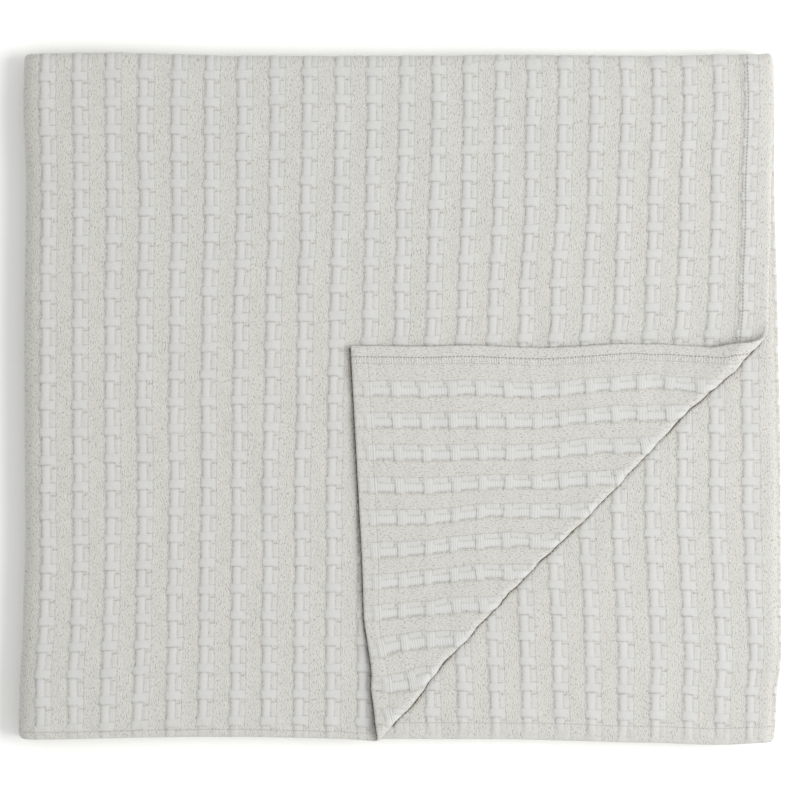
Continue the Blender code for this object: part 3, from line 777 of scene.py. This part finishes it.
# Cotton matelasse: dull and softly bright at grazing angles. The ribs are long floats, smooth and a little
# cooler; the ground is a pebbly crepe with warm specks; the hems are plain bands with pinched seams
def matelasseCotton(name):
    look = clothLook
    material, tree, shader = startMaterial(name, {
        "Roughness": look["roughness"], "Specular IOR Level": 0.25, "Sheen Weight": look["sheen"],
        "Sheen Roughness": 0.5,
    })
    maths, vectorMaths, noise = "ShaderNodeMath", "ShaderNodeVectorMath", "ShaderNodeTexNoise"
    mapRange, ramps, separate, mix = (
        "ShaderNodeMapRange", "ShaderNodeValToRGB", "ShaderNodeSeparateColor", "ShaderNodeMix"
    )
    flat, colours = {"noise_dimensions": "2D"}, {"data_type": "RGBA"}
    softStep = {"interpolation_type": "SMOOTHSTEP"}
    times, timesPlus, sine, part = (
        {"operation": operation} for operation in ("MULTIPLY", "MULTIPLY_ADD", "SINE", "FRACT")
    )
    timesHeld, timesPlusHeld = ({**operation, "use_clamp": True} for operation in (times, timesPlus))
    weave = addNode(tree, "ShaderNodeUVMap", {"uv_map": "weave"})

    # The threads' slight wander, under half a millimetre each way
    wide = look["wander"]
    wander = addNode(tree, noise, flat, {"Vector": weave, "Scale": 110.0, "Detail": 2.0}).outputs["Color"]
    moved = addNode(tree, vectorMaths, timesPlus, [wander, (wide, wide, 0), weave])
    centred = addNode(tree, vectorMaths, {"operation": "SUBTRACT"}, [moved, (wide / 2, wide / 2, 0)])
    placeU, placeV = addNode(tree, "ShaderNodeSeparateXYZ", None, [centred]).outputs[:2]

    # Where in the column and in the row a point lies, 0 to 1, and the masks read there from the sections
    column = addNode(tree, maths, timesPlus, [placeU, -1 / ribbing["pitch"], 0.5])
    column = addNode(tree, maths, part, [column])
    row = addNode(tree, maths, timesPlus, [placeV, 1 / ribbing["wrapPitch"], 0.5])
    row = addNode(tree, maths, part, [row])
    openMasks, wrapMasks, alongMasks = (
        addNode(tree, ramps, {"stops": [(0.5 + at / pitch, masks) for at, masks in section]}, [place])
        for section, pitch, place in (
            (openSection, ribbing["pitch"], column), (wrapSection, ribbing["pitch"], column),
            (alongSection, ribbing["wrapPitch"], row),
        )
    )
    withinWrap, stepShows, belowWrap = addNode(tree, separate, None, [alongMasks]).outputs
    openStep = addNode(tree, separate, None, [openMasks]).outputs[1]
    masks = addNode(tree, mix, colours, {0: withinWrap, 6: openMasks, 7: wrapMasks})
    ribMask, stepMask, lostMask = addNode(tree, separate, None, [masks]).outputs
    share = addNode(tree, "ShaderNodeAttribute", {"attribute_name": "patternShare"})
    rib = addNode(tree, maths, times, [ribMask, share])
    step = addNode(tree, maths, times, [stepMask, stepShows])
    step = addNode(tree, maths, times, [step, share])

    # Lost light: the grooves, the line under each wrap and the short lines at the ends of each step
    lost = addNode(tree, maths, timesPlus, [belowWrap, openMasks.outputs["Alpha"], lostMask])
    lost = addNode(tree, maths, timesPlus, [alongMasks.outputs["Alpha"], openStep, lost])
    fray = addNode(tree, noise, flat, {"Vector": weave, "Scale": 240.0, "Detail": 2.0})
    fray = addNode(tree, mapRange, None, [fray, 0.25, 0.65, 0.35, 1.15])
    lost = addNode(tree, maths, times, [lost, fray])
    lost = addNode(tree, maths, timesHeld, [lost, share])

    # The threads over the ribs, the finer ones along the steps, the hem's ticks and its stitches' pull
    ribThread, stepThread, tick, pull = (
        addNode(tree, maths, sine, [addNode(tree, maths, times, [place, 2 * math.pi / apart])])
        for place, apart in (
            (placeV, look["ribThreads"]), (placeU, look["stepThreads"]), (placeV, look["ticks"]),
            (placeV, stitching["pitch"]),
        )
    )
    # The ground's grain, longer than wide and a little slanted
    slanted = addNode(tree, "ShaderNodeMapping", None, {
        "Vector": centred, "Rotation": (0, 0, 0.12), "Scale": (1.0, 0.45, 1.0),
    })
    cells = addNode(tree, "ShaderNodeTexVoronoi", {"voronoi_dimensions": "2D", "feature": "SMOOTH_F1"},
                    {"Vector": slanted, "Scale": 1 / look["grain"], "Smoothness": 0.5})
    fine = addNode(tree, noise, flat, {"Vector": slanted, "Scale": 560.0, "Detail": 2.0})
    raised = addNode(tree, maths, {"operation": "ADD"}, [rib, step])
    ground = addNode(tree, maths, {"operation": "SUBTRACT", "use_clamp": True}, [1.08, raised])

    # The hems: two stitched lines with pinches across, and short ticks between them. The ramps run from
    # 10 mm before a seam to 10 mm past it
    black, white, grey = ((level, level, level, 1) for level in (0, 1, 0.36))
    sideSeam, endSeam = (
        addNode(tree, "ShaderNodeAttribute", {"attribute_name": label}) for label in ("sideSeam", "endSeam")
    )
    sideShare, endShare = (addNode(tree, mapRange, None, [seam, -0.010, 0.010]) for seam in (sideSeam, endSeam))
    second = 0.5 + hems["secondLine"] / 0.020
    sideLines = addNode(tree, ramps, {"stops": [
        (0.45, black), (0.475, (1, 0, 0, 1)), (0.52, (1, 1, 0, 1)), (0.55, (0, 1, 0, 1)),
        (second - 0.035, (0, 1, 0, 1)), (second - 0.01, (0.6, 0.5, 0, 1)), (second + 0.01, (0.6, 0, 0, 1)),
        (second + 0.035, black),
    ]}, [sideShare])
    endLines = addNode(tree, ramps, {"stops": [
        (0.46, black), (0.49, white), (0.51, white), (0.54, black),
    ]}, [endShare])
    sideLine, betweenLines = addNode(tree, separate, None, [sideLines]).outputs[:2]
    endLine = addNode(tree, separate, None, [endLines])
    ticks = addNode(tree, maths, times, [tick, betweenLines])
    pinches = addNode(tree, maths, timesPlus, [pull, 0.35, 0.60])
    seamLost = addNode(tree, maths, times, [sideLine, pinches])
    seamLost = addNode(tree, maths, timesPlus, [endLine, look["endSeamShade"], seamLost])

    # Height in metres: the ribs and steps with their threads, the lines between, the grain and the ticks
    ribHeight = addNode(tree, maths, timesPlus, [ribThread, look["ribThreadRise"], look["ribRise"]])
    stepHeight = addNode(tree, maths, timesPlus, [stepThread, look["stepThreadRise"], look["stepRise"]])
    grain = addNode(tree, maths, timesPlus, [fine, -0.8, cells])
    grain = addNode(tree, maths, times, [grain, ground])
    height = 0.0
    for mask, rise in (
        (rib, ribHeight), (step, stepHeight), (lost, look["lostRise"]), (grain, look["grainRise"]),
        (fine, look["fineRise"]), (ticks, look["tickRise"]),
    ):
        height = addNode(tree, maths, timesPlus, [mask, rise, height])
    bump = addNode(tree, "ShaderNodeBump", None, {"Strength": 1.0, "Distance": 1.0, "Height": height})
    tree.links.new(bump.outputs[0], shader.inputs["Normal"])

    # The crevice beside a lying edge: a brown line where no light comes in, frayed by the threads
    away = addNode(tree, "ShaderNodeAttribute", {"attribute_name": "gapAway"})
    away = addNode(tree, maths, timesPlus, [fine, -look["fray"], away])
    away = addNode(tree, mapRange, None, [away, -0.005, 0.005])
    crevice = addNode(tree, ramps, {"stops": [
        (0.10, black), (0.25, white), (0.44, white), (0.54, grey), (0.74, black),
    ]}, [away])

    # Colour: the ground by its grain, darker in the grain's pits partly by its own tone and partly as painted
    # shade, warm specks, the cooler ribs and steps, and the lost light
    # The grain's pits: partly the crepe's own darker tone, partly painted shade in its hollows
    pitToneAndShade = addNode(tree, mapRange, softStep, [cells, 0.35, 0.95])
    warm = addNode(tree, noise, flat, {"Vector": weave, "Scale": 210.0, "Detail": 2.0})
    warm = addNode(tree, mapRange, softStep, [warm, 0.52, 0.70, 0.0, 0.5])
    cool = addNode(tree, maths, timesPlusHeld, [step, 0.7, rib])
    inGrooves = addNode(tree, maths, times, [lost, look["lostShade"]])
    inSeams = addNode(tree, maths, timesHeld, [seamLost, look["seamShade"]])
    colour = hexColour(look["ground"])
    for mask, tint in (
        (pitToneAndShade, "groundDarkAndPitShade"), (warm, "speck"), (cool, "rib"), (inGrooves, "lost"), (inSeams, "lost"),
        (crevice, "crevice"),
    ):
        colour = addNode(tree, mix, colours, {0: mask, 6: colour, 7: hexColour(look[tint])})
    tree.links.new(colour.outputs[2], shader.inputs["Base Color"])
    return material


# Two colours mixed by a fine noise on Object coordinates, for a finish that is nearly plain
def speckledColour(tree, shader, scale, detail, first, second):
    spot = addNode(tree, "ShaderNodeTexCoord").outputs["Object"]
    specks = addNode(tree, "ShaderNodeTexNoise", None, {"Vector": spot, "Scale": scale, "Detail": detail})
    colour = addNode(tree, "ShaderNodeMix", {"data_type": "RGBA"}, {
        0: specks, 6: hexColour(first), 7: hexColour(second),
    })
    tree.links.new(colour.outputs[2], shader.inputs["Base Color"])


threadLook = {"bright": "C5C5C1", "dark": "C4C2BC", "strands": 900.0}


# Spun cotton sewing thread: plain, a touch brighter and glossier than the cloth
def sewingThread(name):
    material, tree, shader = startMaterial(name, {"Roughness": 0.7, "Sheen Weight": 0.2})
    speckledColour(tree, shader, threadLook["strands"], 2.0, threadLook["dark"], threadLook["bright"])
    return material


grid = {
    "shown": 0.425,  # how far the turned corner and the ply below it show from the hems
    "byBend": 0.03, "byBackBend": 0.02, "hem": 0.006, "farHem": 0.015, "firstLine": 0.004,
    # Metres between coarse lines: by a bend, on the turned corner, on plain cloth, covered and hidden
    "bend": 0.006, "corner": 0.014, "plain": 0.05, "covered": 0.09, "hidden": 0.11,
    "plySteps": 6, "plateSteps": 12,
}
shown, byBend = grid["shown"], grid["byBend"]
plateTwo = plateLengths[0] + plateArc
plateTwoEnd = plateTwo + plateLengths[1]
plateThree = plateTwoEnd + plateArc
plyThree = coverCut["width"] - plyLengths[2]
hiddenV = [
    (plateTwo, plateTwo + byBend, grid["bend"]), (plateTwo + byBend, plateTwoEnd - byBend, grid["hidden"]),
    (plateTwoEnd - byBend, plateTwoEnd, grid["bend"]), (plateThree, plateThree + byBend, grid["bend"]),
    (plateThree + byBend, coverCut["length"] - grid["farHem"], grid["hidden"]),
]
hiddenU = [
    (secondPlyStart, secondPlyStart + byBend, grid["bend"]),
    (secondPlyEnd - byBend, secondPlyEnd, grid["bend"]),
    (plyThree + byBend, coverCut["width"] - grid["farHem"], grid["hidden"]),
]
acrossBack = [-at for at in ribbing["acrossLines"]]

print("front panel")
coarseU = gridLines(coverCut["width"], [
    (grid["hem"], shown, grid["corner"]), (shown, plyLengths[0] - byBend, grid["plain"]),
    (plyLengths[0] - byBend, plyLengths[0], grid["bend"]),
    (secondPlyStart + byBend, secondPlyEnd - byBend, grid["hidden"]),
] + hiddenU, plyLengths, plyArc, grid["plySteps"])
coarseV = gridLines(coverCut["length"], [
    (grid["hem"], shown, grid["corner"]), (shown, plateLengths[0] - byBend, grid["plain"]),
    (plateLengths[0] - byBend, plateLengths[0], grid["bend"]),
] + hiddenV, plateLengths, plateArc, grid["plateSteps"])
columns = repeatedLines(
    ribbing["frontStart"], ribbing["pitch"], acrossBack, grid["firstLine"], plyLengths[0] - 0.002
)
rows = repeatedLines(
    ribbing["frontRow"] - ribbing["frontRowSlant"] * 0.36, ribbing["wrapPitch"], ribbing["alongLines"],
    grid["firstLine"], plateLengths[0] - 0.002,
)
frontPanel = clothPanel(
    "front_cloth", 1, withPattern(coarseU, columns), withPattern(coarseV, rows), coarseU, coarseV, frontRelief
)

print("back panel")
lowerShown = secondPlyEnd - shown
byBackBend = grid["byBackBend"]
coarseU = gridLines(coverCut["width"], [
    (grid["hem"], shown, grid["corner"]), (shown, plyLengths[0] - byBackBend, grid["covered"]),
    (plyLengths[0] - byBackBend, plyLengths[0], grid["bend"]),
    (secondPlyStart + byBend, lowerShown, grid["covered"]),
    (lowerShown, secondPlyEnd - byBend, grid["corner"]),
] + hiddenU, plyLengths, plyArc, grid["plySteps"])
coarseV = gridLines(coverCut["length"], [
    (grid["hem"], shown, grid["corner"]), (shown, plateLengths[0], grid["plain"]),
] + hiddenV, plateLengths, plateArc, grid["plateSteps"])
columns = np.concatenate([
    repeatedLines(ribbing["backStart"], ribbing["pitch"], acrossBack, grid["firstLine"], shown),
    repeatedLines(
        secondPlyStart + ribbing["lowerPlyCrown"], ribbing["pitch"], ribbing["acrossLines"], lowerShown,
        secondPlyEnd - 0.001,
    ),
])
rows = repeatedLines(
    ribbing["backRow"], ribbing["wrapPitch"], ribbing["alongLines"], grid["firstLine"], shown
)
backPanel = clothPanel(
    "back_cloth", -1, withPattern(coarseU, columns), withPattern(coarseV, rows), coarseU, coarseV, backRelief
)

print("stitches")
sewnTo = plateLengths[0] + 0.5 * plateArc
frontSeam, backSeam, frontEnd, backEnd = (
    hems[key] for key in ("frontSeam", "backSeam", "frontEndSeam", "backEndSeam")
)
threads = hemStitches("hem_stitches", [
    ((frontSeam, frontEnd), (frontSeam, sewnTo), 1),
    ((frontSeam, frontEnd), (plyLengths[0] - 0.004, frontEnd), 1),
    ((backSeam, backEnd), (backSeam, sewnTo), -1),
    ((backSeam + hems["secondLine"], backEnd), (backSeam + hems["secondLine"], 0.44), -1),
    ((backSeam, backEnd), (plyLengths[0] - 0.004, backEnd), -1),
    ((secondPlyStart + 0.004, backEnd), (secondPlyEnd - 0.004, backEnd), -1),
])

print("materials")
cotton = matelasseCotton("matelasse cotton")
frontPanel.data.materials.append(cotton)
backPanel.data.materials.append(cotton)
threads.data.materials.append(sewingThread("spun cotton sewing thread"))

for piece, node, slot in (
    (frontPanel, "front_panel", "front_cloth"), (backPanel, "back_panel", "back_cloth"),
):
    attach(piece, "root")
    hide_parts(node)
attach(threads, "root")

studio = {
    "floor": "FAFAF8", "fibre": "F7F7F5", "fibres": 500.0, "floorReach": 4, "world": 0.78,
    "key": 122.0, "keySize": 2.4, "keyPlace": (3.0, -0.2, 2.6),
    "cameraHeight": 3.2, "viewWidth": 0.7805, "viewCentre": (0.0012, -0.0019),
}


# A square of matt paper, as plain as the photo's white ground
def studioFloor():
    reach = studio["floorReach"]
    mesh = bpy.data.meshes.new("floor")
    mesh.from_pydata(
        [(-reach, -reach, 0), (reach, -reach, 0), (reach, reach, 0), (-reach, reach, 0)], [], [(0, 1, 2, 3)]
    )
    floor = bpy.data.objects.new("floor", mesh)
    bpy.context.scene.collection.objects.link(floor)
    material, tree, shader = startMaterial("matt studio paper", {
        "Roughness": 0.95, "Specular IOR Level": 0.1,
    })
    speckledColour(tree, shader, studio["fibres"], 2.0, studio["floor"], studio["fibre"])
    mesh.materials.append(material)


# A round soft light that looks at the middle of the floor
def softLight(name, power, size, place):
    lamp = bpy.data.lights.new(name, "AREA")
    lamp.energy, lamp.size, lamp.shape = power, size, "DISK"
    light = bpy.data.objects.new(name, lamp)
    light.location = place
    light.rotation_euler = (-Vector(place)).to_track_quat("-Z", "Y").to_euler()
    bpy.context.scene.collection.objects.link(light)


print("studio")
studioFloor()
softLight("key light", studio["key"], studio["keySize"], studio["keyPlace"])
world = bpy.data.worlds.new("studio")
world.use_nodes = True
world.node_tree.nodes["Background"].inputs[0].default_value = (1, 1, 1, 1)
world.node_tree.nodes["Background"].inputs[1].default_value = studio["world"]
bpy.context.scene.world = world
bpy.context.scene.view_settings.view_transform = "Standard"

lens = bpy.data.cameras.new("camera")
lens.sensor_width = 36
lens.lens = 36 * (studio["cameraHeight"] - topPlyZ) / studio["viewWidth"]
camera = bpy.data.objects.new("camera", lens)
camera.location = (*studio["viewCentre"], studio["cameraHeight"])
bpy.context.scene.collection.objects.link(camera)
bpy.context.scene.camera = camera
